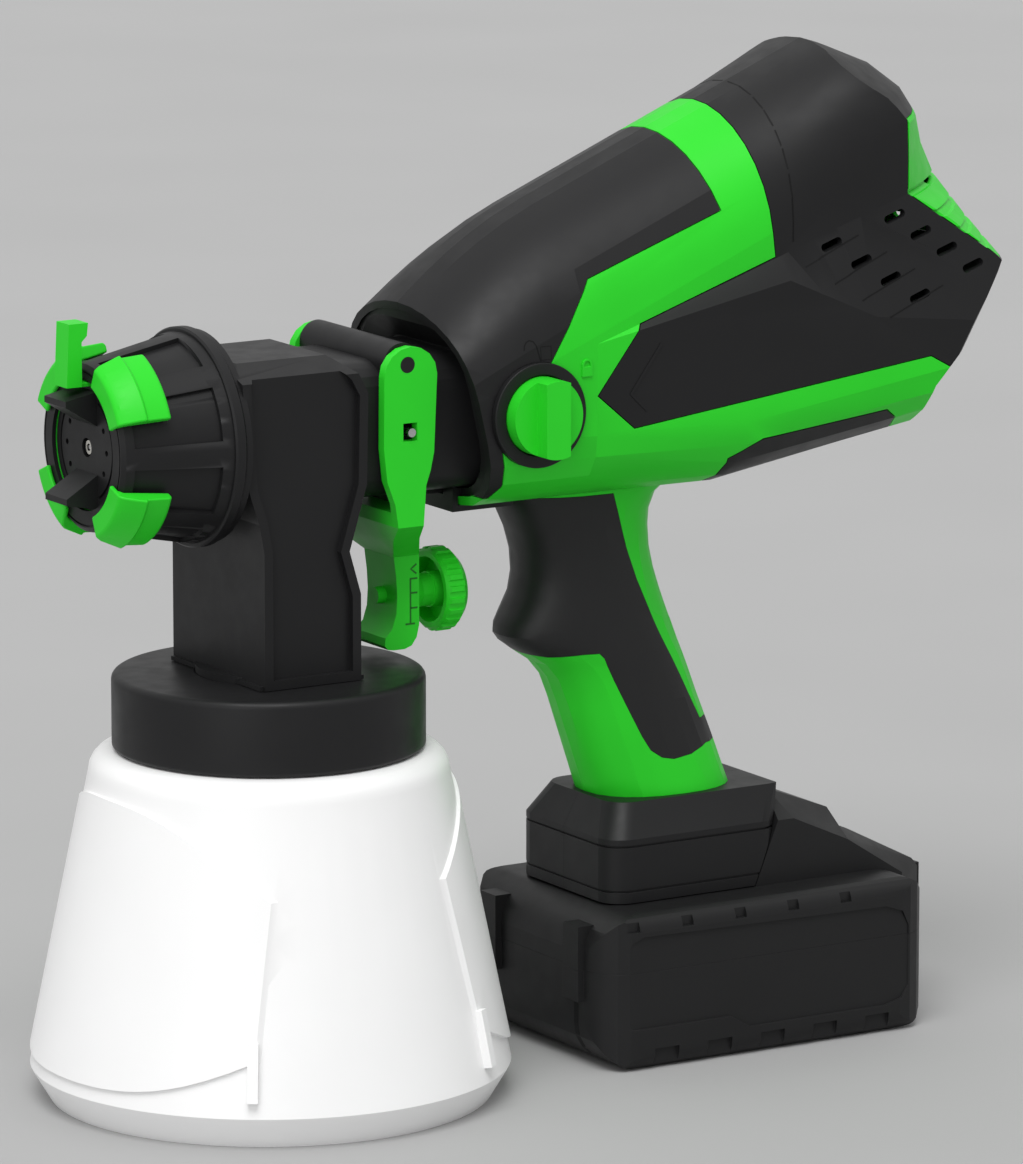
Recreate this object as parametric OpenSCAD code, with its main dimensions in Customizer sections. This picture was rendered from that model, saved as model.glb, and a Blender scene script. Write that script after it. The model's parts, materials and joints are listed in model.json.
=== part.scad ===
// Cordless turbine paint sprayer: paint bottle, spray head, trigger, tilted fan housing, grip and battery pack.
// +Z is up and +X points to the rear, so the nozzle faces -X. Y = 0 is the seam plane of the two housing halves.
// The origin is on the floor, on the axis of the paint bottle.

/* [Bottle] */
// Widest radius of the bottle, just above its foot chamfer
bottle_r = 66.3; // [60:0.1:72]
// Radius of the flat ring that the bottle stands on
bottle_foot_r = 61; // [54:0.1:64]
// Height of the foot chamfer
bottle_foot_h = 9; // [5:0.5:12]
// Height of the tapered wall above the foot chamfer
bottle_cone_h = 82; // [70:0.5:95]
// Radius at the shoulder, where the taper ends
bottle_shoulder_r = 49.5; // [46:0.1:54]
// Radius of the rounded shoulder edge
shoulder_round = 6; // [3:0.5:8]
// Outer radius of the neck
neck_r = 38.6; // [34:0.1:39.5]
// Height of the neck above the shoulder
neck_h = 13.5; // [10:0.5:18]
// Wall thickness of the bottle
bottle_wall = 2.4; // [1.6:0.1:4]
// How far the side panels stand proud of the taper
panel_proud = 1; // [0.4:0.1:2]

/* [Cap ring] */
// Outer radius of the cap ring
cap_r = 43; // [41.5:0.1:46]
// Height of the cap ring
cap_h = 20.8; // [16:0.1:26]
// Thickness of the top plate of the cap ring
cap_plate = 3; // [2:0.1:4]

/* [Spray head] */
// Gap between the end of the trigger and the cap ring
trigger_gap = 3; // [1.5:0.1:8]
// Half width of the head block, without its side frames
head_half_w = 23.4; // [21:0.1:24]
// How far the side frames stand proud
frame_proud = 2; // [0.5:0.1:2.2]
// Width of the side frames
frame_w = 2.6; // [1.5:0.1:4]
// Front face of the head block at its base
head_front_x = -15.5; // [-20:0.1:-14]
// Rear face of the head block at its base
head_back_x = 14.5; // [13:0.1:16]
// Width of the air duct neck behind the block
duct_w = 44; // [40:0.5:45]
// Height of the air duct neck
duct_h = 38; // [35:0.5:39]

/* [Nozzle] */
// Rear face of the nozzle nut
nut_back_x = -23; // [-24:0.1:-21]
// Length of the nozzle nut
nut_len = 34; // [31:0.1:38]
// Outer radius of the rear flange of the nut
nut_flange_r = 30; // [29.6:0.1:32]
// Outer radius of the front rim of the nut
nut_rim_r = 22.6; // [22:0.1:23.4]
// Radius of the air cap disc
air_cap_r = 18.6; // [18.2:0.1:19.2]
// How far the two horns stand out of the air cap
horn_len = 9.5; // [7:0.5:13]
// Number of pockets round the nut
pockets = 8; // [6:1:10]
// Outer radius of the green grip lugs
lug_r = 28.6; // [28:0.1:30]

/* [Trigger] */
// Distance of the trigger pivot behind the bottle axis
pivot_x = 29; // [27:0.1:31]
// Height of the trigger pivot above the nozzle axis
pivot_rise = 18.6; // [18:0.1:20]
// Radius of the pivot pin
pivot_pin_r = 2.2; // [1.6:0.1:2.6]
// Thickness of a trigger arm
arm_t = 3; // [2:0.1:3.5]
// Length of the trigger below the nozzle axis
trigger_drop = 64; // [60:0.5:65]
// Outer radius of the flow knob
knob_r = 11.8; // [10:0.1:12.6]
// Number of grip flutes round the flow knob
knob_flutes = 22; // [12:1:30]
// Radius of the cross pin that pulls the needle
cross_pin_r = 1.2; // [0.8:0.1:1.6]

/* [Fan housing] */
// Half width of the arched fan housing
barrel_r = 35; // [33:0.1:37]
// Angle at which the fan housing rises to the rear
barrel_tilt = 22.6; // [20:0.1:24]
// How far the rear flanks flare out for each millimetre of length
flank_flare = 0.1; // [0.04:0.01:0.12]
// Wall thickness of the housing shells
shell_wall = 2.5; // [1.8:0.1:3]
// Gap between neighbouring shells
seam = 0.3; // [0.1:0.05:0.5]
// Front edge of the green band over the top
band_front_x = 125.4; // [121:0.1:128]
// Rear edge of the green band over the top
band_back_x = 142; // [139:0.5:146]
// Radius of the lock dial
dial_r = 10.8; // [9:0.1:12]

/* [Handle and battery] */
// Half width of the handle
grip_half_w = 16; // [15:0.1:18]
// Half width of the foot above the battery
foot_half_w = 25.2; // [24.5:0.1:28]
// Height of the foot walls
foot_h = 18.5; // [15:0.5:22]
// Front face of the battery pack
pack_front_x = 85.5; // [83:0.5:87]
// Length of the battery pack
pack_len = 110; // [106:0.5:114]
// Width of the battery pack
pack_w = 76.6; // [74:0.1:80]
// Height of the battery pack
pack_h = 44.5; // [43:0.5:47]
// Height of the seam between the two battery cases
pack_seam_h = 28; // [26:0.1:29]
// Radius of one battery cell
cell_r = 9.1; // [8.5:0.1:9.2]

/* [Hidden] */
$fn = 64;

green = "limegreen";
black = "#2a2a2a";
steel = "silver";
brass = "goldenrod";
cut = 1;                 // how far a cutting shape runs past the face it cuts
fit_gap = 0.05;          // radial clearance of a running fit
free_gap = 0.3;          // clearance between pieces that move past each other

// Heights of the stack that stands on the floor
shoulder_z = bottle_foot_h + bottle_cone_h;
neck_z = shoulder_z + shoulder_round;
rim_z = neck_z + neck_h;
cap_z = neck_z + free_gap;
cap_top = cap_z + cap_h;
nozzle_z = cap_top + trigger_gap + trigger_drop;

// Fan housing: heights are given above the nozzle axis, because the air duct joins the two
mouth_top = [41.2, 31.2];
mouth_tilt = 12.9;
mouth_w = 34;
nose_x = 80;             // behind it the top line is straight
nose_drop = 9.1;         // how far the top line curves down to the mouth
barrel_x = 28.4;         // where the axis of the fan housing crosses the nozzle axis
floor_h = -24.6;
floor_bend_x = 130;
floor_slope = 0.17;
bilge_h = 20;            // height of the rounded lower edge
keel_w = 12;             // half width of the flat underside
flank_x = 84;            // where the flanks start to flare
ledge = [97.8, 24.9];    // a point of the ledge above the flank, and its slope
ledge_slope = 0.335;
crest_x = 143;           // behind it the vented facet widens
crest_slope = -0.448;
full_arch_x = [146, 170];  // where the arch turns from round to full

function clamp(v, a, b) = min(max(v, a), b);
function blend(v, from, to) = clamp((v - from[0]) / (from[1] - from[0]), 0, 1) * (to[1] - to[0]) + to[0];
function barrel_h(x) = (x - barrel_x) * tan(barrel_tilt);
function mouth_x(h) = mouth_top[0] + (mouth_top[1] - h) * tan(mouth_tilt);
function roof_h(x) = barrel_h(x) + barrel_r
    - nose_drop * pow(max(0, (nose_x - x) / (nose_x - mouth_top[0])), 2);
function keel_h(x) = floor_h + max(0, x - floor_bend_x) * floor_slope;
function half_w(x) = blend(x, [mouth_top[0], 60], [mouth_w, barrel_r]);
function flank_w(x) = half_w(x) + max(0, x - flank_x) * flank_flare;
function ledge_h(x) = ledge[1] + (x - ledge[0]) * ledge_slope;
function crest_h(x) = x < crest_x ? ledge_h(x) - (flank_w(x) - half_w(x))
    : max(ledge_h(crest_x) - (flank_w(crest_x) - half_w(crest_x)) + (x - crest_x) * crest_slope,
        keel_h(x) + bilge_h + 1);

// One section of the fan housing across the plane at x, from the roof down one side to the keel
arch_steps = 8;
bilge_steps = 5;
function half_section(x, inset) =
    let (w = half_w(x) - inset, f = flank_w(x) - inset, spring = barrel_h(x), rise = roof_h(x) - inset - spring,
        full = blend(x, full_arch_x, [1, 0.8]), keel = keel_h(x) + inset, bilge = keel_h(x) + bilge_h,
        shelf = min(max(ledge_h(x), crest_h(x) + 0.5), spring - 0.5), crest = min(crest_h(x), shelf - 0.5))
    concat(
        [for (k = [0:arch_steps]) let (a = 90 * k / arch_steps)
            [w * pow(sin(a), full), spring + rise * pow(cos(a), full)]],
        [[w, shelf], [f, crest]],
        [for (k = [0:bilge_steps]) let (a = 90 * k / bilge_steps)
            [keel_w + (f - keel_w) * cos(a), bilge - (bilge - keel) * sin(a)]]);
function ring_at(x, inset) = let (side = half_section(x, inset), n = len(side))
    concat([for (p = side) [x, -p[0], p[1]]], [for (k = [n - 1:-1:1]) [x, side[k][0], side[k][1]]]);
body_stations = [36, 44, 50, 56.5, 63, 71, nose_x, flank_x, floor_bend_x, crest_x, 146, 154, 162, 170, 240];

// The rear end: level by level, how far back the centre line and the flanks reach
tail_levels = [  // height, centre x, flank x, half width there, roundness
    [-40, 168, 154, 40, 2],
    [-20, 187, 175, 42, 2],
    [-13, 195, 181, 44, 2],
    [1, 208, 189, 45, 2],
    [9.5, 217, 197, 45, 2],
    [22, 224, 206, 43, 2],
    [34.4, 227, 213, 42, 1.9],
    [44, 223, 201.5, 39, 1.6],
    [54.4, 217, 186, 35, 1.35],
    [64, 211.5, 186, 35, 1.4],
    [74, 206, 186, 35, 1.7],
    [81, 200.5, 180, 33, 2],
    [87.6, 192, 166, 30, 2],
    [93.4, 178, 146, 30, 2],
    [108, 130, 90, 30, 2]];
tail_side = [60, 46, 41, 35, 28, 21, 14, 7];
tail_front = 100;
function tail_x(level, y) = level[1] - (level[1] - level[2]) * pow(abs(y) / level[3], level[4]);
function tail_ring(level, inset) =
    let (ys = concat([for (y = tail_side) -y], [0], [for (k = [len(tail_side) - 1:-1:0]) tail_side[k]]))
    concat([[tail_front - 100, tail_side[0], level[0]], [tail_front - 100, -tail_side[0], level[0]]],
        [for (y = ys) [tail_x(level, y) - inset, y, level[0]]]);

// Closed solid through a list of rings with equal numbers of points
function centre(ring) = [for (a = [0:2]) [for (p = ring) p[a]] * [for (p = ring) 1] / len(ring)];
module loft(rings) {
    n = len(rings[0]);
    m = len(rings);
    sides = [for (j = [0:m - 2], i = [0:n - 1]) let (a = j * n + i, b = j * n + (i + 1) % n)
        each [[a, b + n, b], [a, a + n, b + n]]];
    ends = [for (i = [0:n - 1]) let (k = (i + 1) % n)
        each [[m * n, i, k], [m * n + 1, (m - 1) * n + k, (m - 1) * n + i]]];
    polyhedron(concat([for (r = rings) each r], [centre(rings[0]), centre(rings[m - 1])]), concat(sides, ends),
        convexity = 8);
}

// The same where every ring is convex: each neighbouring pair of rings is spanned by its hull
module stack(rings) for (k = [0:len(rings) - 2]) hull() loft([rings[k], rings[k + 1]]);

module body_solid(inset)
    translate([0, 0, nozzle_z]) intersection() {
        loft([for (x = body_stations) ring_at(x, inset)]);
        stack([for (l = tail_levels) tail_ring(l, inset)]);
    }

// Outlines in the XZ plane, with heights above the nozzle axis
band_lean = [0.24, 0.12];   // how far the front and rear edges of the green band lean forward as they rise
function nose_outline() = [[0, 130], [band_front_x - band_lean[0] * 76, 130], [band_front_x, 54], [83, 38.4],
    [70.6, 19.4],
    [57.5, -0.5], [mouth_x(-6) + 4, -6], [mouth_x(-17) + 4, -17], [mouth_x(-20.5) + 1.6, -20.5], [0, -20.5]];
over_ledge = 0.2;        // the rear covers end just above the ledge
function rear_outline() = [[band_back_x - band_lean[1] * 90, 130],
    [band_back_x, ledge_h(band_back_x) + over_ledge],
    [ledge[0], ledge[1] + over_ledge], [84.3, 6.4],
    [95.3, -3.3], [187.2, 10], [198, 3.9], [260, -8], [260, 130]];
function grille_outline() = [[186, 75], [186, 54.4], [213, 34.9], [250, 34.9], [250, 75]];
function insert_outline() = [[128, -30], [126.7, -15.1], [135.6, -9.9], [175.3, -5], [179.8, -7.9], [184, -14],
    [184, -30]];
module region(outline, grow = 0, w = 140)
    translate([0, w / 2, 0]) rotate([90, 0, 0]) linear_extrude(w)
        if (grow > 0) offset(delta = grow) polygon(outline); else polygon(outline);
function above_axis(outline) = [for (p = outline) [p[0], nozzle_z + p[1]]];
module half(side) translate([-50, side > 0 ? 0 : -200, -50]) cube([400, 200, 500]);

// Handle: how far down it, front x, back x, half width there
handle_top = nozzle_z + floor_h;
foot_top = pack_h + foot_h + 7.2;
handle_wall = 3.8;
grip_t = 1.8;
handle_levels = [
    [-0.06, 74, 134, 17],
    [-0.01, 72.4, 127, 18],
    [0.03, 73.6, 121.6, 18],
    [0.08, 76, 119.4, 17.8],
    [0.13, 78.2, 119, 17.4],
    [0.2, 80, 119.5, 17],
    [0.27, 80.4, 121, 17],
    [0.33, 79.2, 123, 17],
    [0.39, 76, 125.3, 17],
    [0.425, 74.2, 126.6, 17],
    [0.45, 73.9, 127.6, 17],
    [0.475, 75.6, 128.5, 17],
    [0.51, 80, 129.7, 17],
    [0.55, 85.5, 131.1, 17],
    [0.6, 89.4, 132.8, 17.1],
    [0.68, 92.4, 135.5, 17.3],
    [0.82, 96.8, 140.6, 17.8],
    [1, 102.5, 146.8, 18.5],
    [1.05, 104, 148.4, 18.7]];
handle_steps = 24;
function rounded_pow(v, p) = sign(v) * pow(abs(v), p);
function handle_ring(level, inset) =
    let (z = handle_top - level[0] * (handle_top - foot_top), a = (level[2] - level[1]) / 2 - inset,
        w = level[3] * grip_half_w / 17 - inset, mid = (level[1] + level[2]) / 2)
    [for (k = [0:handle_steps - 1]) let (t = -360 * k / handle_steps)
        [mid + a * rounded_pow(cos(t), 0.85), w * rounded_pow(sin(t), 0.85), z]];
module handle_solid(inset) stack([for (l = handle_levels) handle_ring(l, inset)]);
grip_shares = [[60, 0.006], [100.6, 0.006], [105.6, 0.182], [109.6, 0.29], [114.6, 0.4], [132, 0.757],
    [160, 0.757], [160, 0.836], [133.4, 0.836], [127, 0.858], [121, 0.866], [117, 0.857], [113.4, 0.83],
    [110.6, 0.782], [98.6, 0.524], [97, 0.507], [92, 0.507], [84, 0.515], [77, 0.508], [60, 0.48]];
function grip_outline() = [for (p = grip_shares) [p[0], handle_top - p[1] * (handle_top - foot_top)]];

// Outlines used by several pieces
function rounded_rect(w, h, r, steps = 5) = [for (q = [0:3], k = [0:steps])
    let (a = 90 * (q + k / steps), sx = q == 0 || q == 3 ? 1 : -1, sy = q < 2 ? 1 : -1)
    [sx * (w / 2 - r) + r * cos(a), sy * (h / 2 - r) + r * sin(a)]];
module xz(outline, from_y, to_y)
    translate([0, to_y, 0]) rotate([90, 0, 0]) linear_extrude(to_y - from_y) polygon(outline);
module tube(r, bore, h) difference() {
    cylinder(r = r, h = h);
    translate([0, 0, -cut]) cylinder(r = bore, h = h + 2 * cut);
}
module on_axis(x) translate([x, 0, nozzle_z]) rotate([0, 90, 0]) children();     // local +Z runs to the rear
module across(x, z, from_y) translate([x, from_y, z]) rotate([-90, 0, 0]) children();  // local +Z runs to +Y

// Bottle
function cone_r(z) = bottle_r + (bottle_shoulder_r - bottle_r) * (z - bottle_foot_h) / bottle_cone_h;
cone_lean = atan((bottle_r - bottle_shoulder_r) / bottle_cone_h);
base_recess = 1.5;
base_pad_r = 14;         // flat pad in the middle of the base
panel_top = shoulder_z - 3;
panel_drop = 22;         // how far the top edge of a panel falls to its corners
panel_foot = bottle_foot_h + 4;
panel_lift = 11;         // how far the bottom edge rises to its corners
panel_half = [48.5, 53.5];  // half width at the upper and lower corners
panel_steps = 14;
function panel_outline() = concat(
    [for (k = [-panel_steps:panel_steps]) let (u = k / panel_steps)
        [u * panel_half[0], panel_top - panel_drop * pow(abs(u), 2.6)]],
    [for (k = [panel_steps:-1:-panel_steps]) let (u = k / panel_steps)
        [u * panel_half[1], panel_foot + panel_lift * pow(abs(u), 4)]]);
rib_h = 16;
rib_w = 3;
rib_angle = 56;
module bottle() color("white") {
    difference() {
        rotate_extrude($fn = 96) polygon(concat(
            [[0, 0], [base_pad_r, 0], [base_pad_r, base_recess], [bottle_foot_r - 6, base_recess],
                [bottle_foot_r - 4.5, 0], [bottle_foot_r, 0],
                [bottle_r - 0.5, bottle_foot_h - 1], [bottle_r, bottle_foot_h]],
            [for (k = [0:5]) [bottle_shoulder_r - shoulder_round * (1 - cos(18 * k)),
                shoulder_z + shoulder_round * sin(18 * k)]],
            [[neck_r, neck_z], [neck_r, rim_z], [0, rim_z]]));
        rotate_extrude($fn = 96) polygon([[0, base_recess + bottle_wall], [bottle_foot_r - 7, base_recess + bottle_wall],
            [bottle_r - bottle_wall - 0.4, bottle_foot_h + 1], [bottle_shoulder_r - bottle_wall, shoulder_z],
            [neck_r - bottle_wall, neck_z - bottle_wall + 1], [neck_r - bottle_wall, rim_z + cut],
            [0, rim_z + cut]]);
    }
    for (side = [-1, 1]) intersection() {
        difference() {
            rotate_extrude($fn = 96) polygon([[0, bottle_foot_h], [bottle_r + panel_proud, bottle_foot_h],
                [bottle_shoulder_r + panel_proud, shoulder_z], [0, shoulder_z]]);
            rotate_extrude($fn = 96) polygon([[0, 0], [cone_r(0) - bottle_wall / 2, 0],
                [cone_r(shoulder_z + 5) - bottle_wall / 2, shoulder_z + 5], [0, shoulder_z + 5]]);
        }
        rotate([90, 0, side * 90]) linear_extrude(bottle_r + 10) polygon(panel_outline());
    }
    for (turn = [rib_angle, -rib_angle, 180 - rib_angle, 180 + rib_angle])
        rotate([0, 0, turn]) translate([cone_r(panel_foot) - 1.2, -rib_w / 2, panel_foot])
            rotate([0, -cone_lean, 0]) cube([3.6, rib_w, rib_h]);
}

// Cap ring, gasket and dip tube
hub_r = 20;              // hub of the spray head that passes through the cap ring
seat_z = cap_top - cap_plate;
head_flange_t = 2.5;
gasket_z = rim_z + 0.1;
module cap_ring() color(black) rotate_extrude($fn = 96) polygon(concat(
    [[neck_r + free_gap, cap_z], [cap_r - 0.8, cap_z], [cap_r, cap_z + 0.8]],
    [for (k = [0:4]) [cap_r - 2 * (1 - cos(22.5 * k)), cap_top - 2 + 2 * sin(22.5 * k)]],
    [[hub_r + fit_gap, cap_top], [hub_r + fit_gap, seat_z], [neck_r + free_gap, seat_z]]));
module cap_gasket() color("dimgray") translate([0, 0, gasket_z])
    tube(neck_r - 0.4, neck_r - bottle_wall - 3, seat_z - head_flange_t - gasket_z);
tube_r = 3.5;
tube_foot = 7;
module dip_tube() color("whitesmoke") translate([0, 0, tube_foot])
    tube(tube_r, tube_r - 1.1, seat_z + 6 - tube_foot);

// Spray head
head_z = cap_top + 0.2;
head_top = 21.6;         // above the nozzle axis
plinth = 1.2;            // step round the base of the block
core_r = 7.5;            // fluid passage that runs through the air chamber
needle_r = 1.5;
chamber_r = 20;          // air chamber behind the air cap
collar_r = 24;           // threaded collar that carries the nozzle nut
core_back = 12;          // rear end of the fluid passage
duct_back = 58;          // rear end of the air duct
duct_round = 9;
duct_wall = 3;
boss_r = 5.6;
boss_proud = 0.7;
arm_y = duct_w / 2 + boss_proud + free_gap;  // inner face of a trigger arm
pin_x = 30;              // cross pin, on the nozzle axis
pivot_z = nozzle_z + pivot_rise;
function head_outline() = concat([[head_front_x, head_z]], above_axis([[head_front_x, -29], [-17, -21], [-20, -12],
    [-22, head_top - 3], [-18, head_top], [9.6, head_top], [14, head_top - 4], [17, 12], [16.5, -13], [11, -31], [head_back_x, -43]]),
    [[head_back_x, head_z]]);
module duct_solid(inset, from_x, to_x) translate([from_x, 0, nozzle_z]) rotate([90, 0, 90])
    linear_extrude(to_x - from_x)
        polygon(rounded_rect(duct_w - 2 * inset, duct_h - 2 * inset, duct_round - inset));
module spray_head() color(black) difference() {
    union() {
        difference() {
            union() {
                xz(head_outline(), -head_half_w, head_half_w);
                for (side = [-1, 1]) difference() {
                    xz(head_outline(), side > 0 ? head_half_w - 1 : -head_half_w - frame_proud,
                        side > 0 ? head_half_w + frame_proud : -head_half_w + 1);
                    translate([0, side * (head_half_w + 2.5), 0]) rotate([90, 0, 0]) linear_extrude(5, center = true)
                        offset(delta = -frame_w) polygon(head_outline());
                }
            }
            for (side = [-1, 1]) translate([0, side * 15, nozzle_z + head_top]) rotate([-side * 21, 0, 0])
                translate([-40, side > 0 ? 0 : -30, 0]) cube([80, 30, 20]);
        }
        translate([head_front_x - plinth, -head_half_w - plinth, head_z])
            cube([head_back_x - head_front_x + 2 * plinth, 2 * (head_half_w + plinth), plinth]);
        translate([0, 0, seat_z - head_flange_t]) cylinder(r = neck_r - 0.6, h = head_flange_t);
        translate([0, 0, seat_z - 1]) cylinder(r = hub_r, h = cap_plate + 3);
        on_axis(-31) cylinder(r = collar_r, h = 10.5);
        on_axis(nut_back_x + free_gap) cylinder(r = nut_flange_r - 0.9, h = 1.8);
        duct_solid(0, 10, duct_back);
        across(pivot_x, pivot_z, -duct_w / 2 - boss_proud) cylinder(r = boss_r, h = duct_w + 2 * boss_proud);
    }
    difference() {
        union() {
            on_axis(-31 - cut) cylinder(r = chamber_r, h = 31 + cut - 21.7);
            on_axis(-22) cylinder(r = 15.5, h = 38);
            duct_solid(duct_wall, 14, duct_back + cut);
        }
        on_axis(-31) cylinder(r = core_r, h = 31 + core_back);
        translate([0, 0, seat_z - 5]) cylinder(r = core_r, h = nozzle_z - seat_z + 5);
        for (side = [-1, 1]) translate([44, side > 0 ? 3.5 : -duct_w / 2, nozzle_z - 3])
            cube([3, duct_w / 2 - 3.5, 6]);
        on_axis(44) tube(5, needle_r + fit_gap, 3);
    }
    on_axis(-31 - cut) cylinder(r = 3, h = 31 + cut + core_back - 6);
    on_axis(-20) cylinder(r = needle_r + 0.5, h = 40);
    on_axis(-31 - cut) cylinder(r = 5 + fit_gap, h = 6 + cut);
    on_axis(core_back - 5) cylinder(r = 5 + fit_gap, h = 8);
    translate([0, 0, seat_z - 6]) cylinder(r = tube_r + fit_gap, h = 12);
    translate([0, 0, seat_z]) cylinder(r = tube_r - 1, h = nozzle_z - seat_z);
    across(pivot_x, pivot_z, -duct_w) cylinder(r = pivot_pin_r + fit_gap, h = 2 * duct_w);
    for (side = [-1, 1]) translate([pin_x - 1.8, side > 0 ? 5 : -duct_w, nozzle_z - 1.8])
        cube([6.5, duct_w - 5, 3.6]);
}

// Nozzle nut with its pockets, the grip lugs, the air cap and the pattern lever
nut_front_x = nut_back_x - nut_len;
nut_flange_t = 3.4;
nut_body_r = nut_flange_r - 1.2;
cap_skirt_x = -31.6;     // rear end of the air cap's skirt
cap_rim_x = cap_skirt_x - 5;  // front of the rim that holds the cap in the nut
cap_rim_r = 22.6;
cap_face_x = nut_front_x + 1.4;
lip_t = 1.1;             // thickness of the nut's front lip
lip_r = 17;
ring_step = 2.4;         // depth of the rabbet that carries the lever ring
lever_swing = 29;        // half angle of the slot that the lever moves in
function nut_r(x) = nut_rim_r + (nut_body_r - nut_rim_r) * (x - nut_front_x) / (nut_len - nut_flange_t);
module around(points, from, span) translate([0, 0, nozzle_z]) rotate([from, 0, 0]) rotate([0, 90, 0])
    rotate_extrude(angle = span) polygon([for (p = points) [p[1], p[0]]]);  // points are [x, radius]
pocket_share = 0.68;     // of the pitch
pocket_deep = 1.3;
pocket_x = [nut_front_x + 3.4, nut_back_x - nut_flange_t - 3];
module nozzle_nut() color(black) difference() {
    around([[nut_back_x, 0], [nut_back_x, nut_flange_r - 0.5], [nut_back_x - 0.5, nut_flange_r],
        [nut_back_x - nut_flange_t + 0.5, nut_flange_r], [nut_back_x - nut_flange_t, nut_flange_r - 0.5],
        [nut_back_x - nut_flange_t, nut_body_r], [nut_front_x + 1, nut_r(nut_front_x + 1)],
        [nut_front_x, nut_rim_r - 1], [nut_front_x, 0]], 0, 360);
    on_axis(cap_skirt_x + 0.6) cylinder(r = collar_r + free_gap, h = 20);
    on_axis(cap_rim_x - 0.2) cylinder(r = cap_rim_r + free_gap, h = 6);
    on_axis(nut_front_x + lip_t) cylinder(r = air_cap_r + free_gap, h = 30);
    on_axis(nut_front_x - cut) cylinder(r = lip_r, h = 10);
    around([[nut_front_x - cut, 10], [nut_front_x - cut, air_cap_r + free_gap],
        [nut_front_x + lip_t + cut, air_cap_r + free_gap], [nut_front_x + lip_t + cut, 10]],
        180 - lever_swing, 2 * lever_swing);
    around([[nut_front_x - cut, nut_rim_r - 1.9], [nut_front_x - cut, nut_rim_r - 1.4],
        [nut_front_x + 0.5, nut_rim_r - 1.4], [nut_front_x + 0.5, nut_rim_r - 1.9]], 0, 360);
    for (k = [0:pockets - 1]) let (pitch = 360 / pockets)
        around([[pocket_x[0], nut_r(pocket_x[0]) - pocket_deep], [pocket_x[0], nut_flange_r + 5],
            [pocket_x[1], nut_flange_r + 5], [pocket_x[1], nut_r(pocket_x[1]) - pocket_deep]],
            (k + 0.5 - pocket_share / 2) * pitch, pocket_share * pitch);
}
lug_span = 45;
lug_seat = 0.1;          // gap between a lug and the nut
lug_front_x = nut_front_x - 1.4;
lug_back_x = nut_front_x + 13.4;
module nut_lugs() color(green) for (k = [0:3])
    around([[lug_front_x, lug_in_r], [lug_front_x, lug_r - 4], [lug_front_x + 1.2, lug_r - 2.8],
        [lug_front_x + 7, lug_r], [lug_front_x + 7.5, lug_r - 0.9], [lug_back_x - 0.8, lug_r - 0.4],
        [lug_back_x, lug_r - 1.2], [lug_back_x, nut_r(lug_back_x) + lug_seat],
        [nut_front_x + 1, nut_r(nut_front_x + 1) + lug_seat], [nut_front_x - lug_seat, nut_rim_r - 1 + lug_seat],
        [nut_front_x - lug_seat, lug_in_r]], 45 + 90 * k - lug_span / 2, lug_span);
lug_in_r = 19;
horn_w = 12;
horn_in = 6.6;           // radius where a horn's slanted face starts
horn_out = 16;
cap_bore_r = 2.6;
module air_cap() color(black) difference() {
    union() {
        on_axis(cap_face_x) cylinder(r = lip_r - 0.2, h = 10);
        on_axis(cap_face_x + ring_step) cylinder(r = air_cap_r, h = cap_skirt_x - cap_face_x - ring_step);
        on_axis(cap_rim_x) cylinder(r = cap_rim_r, h = cap_skirt_x - cap_rim_x);
        for (side = [-1, 1]) translate([0, 0, nozzle_z]) rotate([side > 0 ? 0 : 180, 0, 0])
            xz([[cap_face_x + cut, horn_in], [cap_face_x, horn_in], [cap_face_x - horn_len, horn_out - 3.6],
                [cap_face_x - horn_len, horn_out - 1.9], [cap_face_x, horn_out], [cap_face_x + cut, horn_out]],
                -horn_w / 2, horn_w / 2);
    }
    on_axis(cap_face_x + 4) cylinder(r = air_cap_r - 2.4, h = 40);
    on_axis(cap_rim_x + 2.4) cylinder(r = collar_r - 3.6, h = 40);
    on_axis(cap_face_x - 10) cylinder(r = cap_bore_r, h = 30);
    for (from = [26, 206]) around([[cap_face_x - cut, 14], [cap_face_x + 0.8, 14], [cap_face_x + 0.8, 14.8],
        [cap_face_x - cut, 14.8]], from, 128);
    for (side = [-1, 1]) {
        for (turn = [0, 32, -32]) translate([0, 0, nozzle_z]) rotate([90 * side + turn, 0, 0])
            translate([cap_face_x - 10, 0, 11]) rotate([0, 90, 0]) cylinder(r = 0.8, h = 20, $fn = 24);
        for (step = [0.35, 0.7]) translate([cap_face_x - horn_len * step, 0, nozzle_z])
            rotate([0, -38 * side, 0]) translate([0, 0, side * 8])
                cylinder(r = 0.9, h = 12, center = true, $fn = 24);
    }
}
lever_ring = [lip_r + 0.1, air_cap_r];
lever_w = 7;
lever_top = 34.4;
lever_lean = 0.6;        // how far forward the lever's top stands
module pattern_lever() color(green) {
    on_axis(nut_front_x + lip_t + 0.25)
        tube(lever_ring[1], lever_ring[0], cap_face_x + ring_step - nut_front_x - lip_t - 0.5);
    around([[nut_front_x - 2, lever_ring[0] + 0.3], [nut_front_x - 2, lever_ring[1] - 0.2],
        [nut_front_x + lip_t + cut, lever_ring[1] - 0.2], [nut_front_x + lip_t + cut, lever_ring[0] + 0.3]], 170, 20);
    xz(above_axis([[nut_front_x - 1.7, lever_ring[0] + 0.1], [nut_front_x - 1.7, lug_r + 0.7],
        [nut_front_x - 0.1, lug_r + 2.3], [nut_front_x + 0.9 - lever_lean, lever_top],
        [nut_front_x - 4.9 - lever_lean, lever_top], [nut_front_x - 6.3, lever_ring[0] + 0.1]]),
        -lever_w / 2, lever_w / 2);
}

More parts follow.
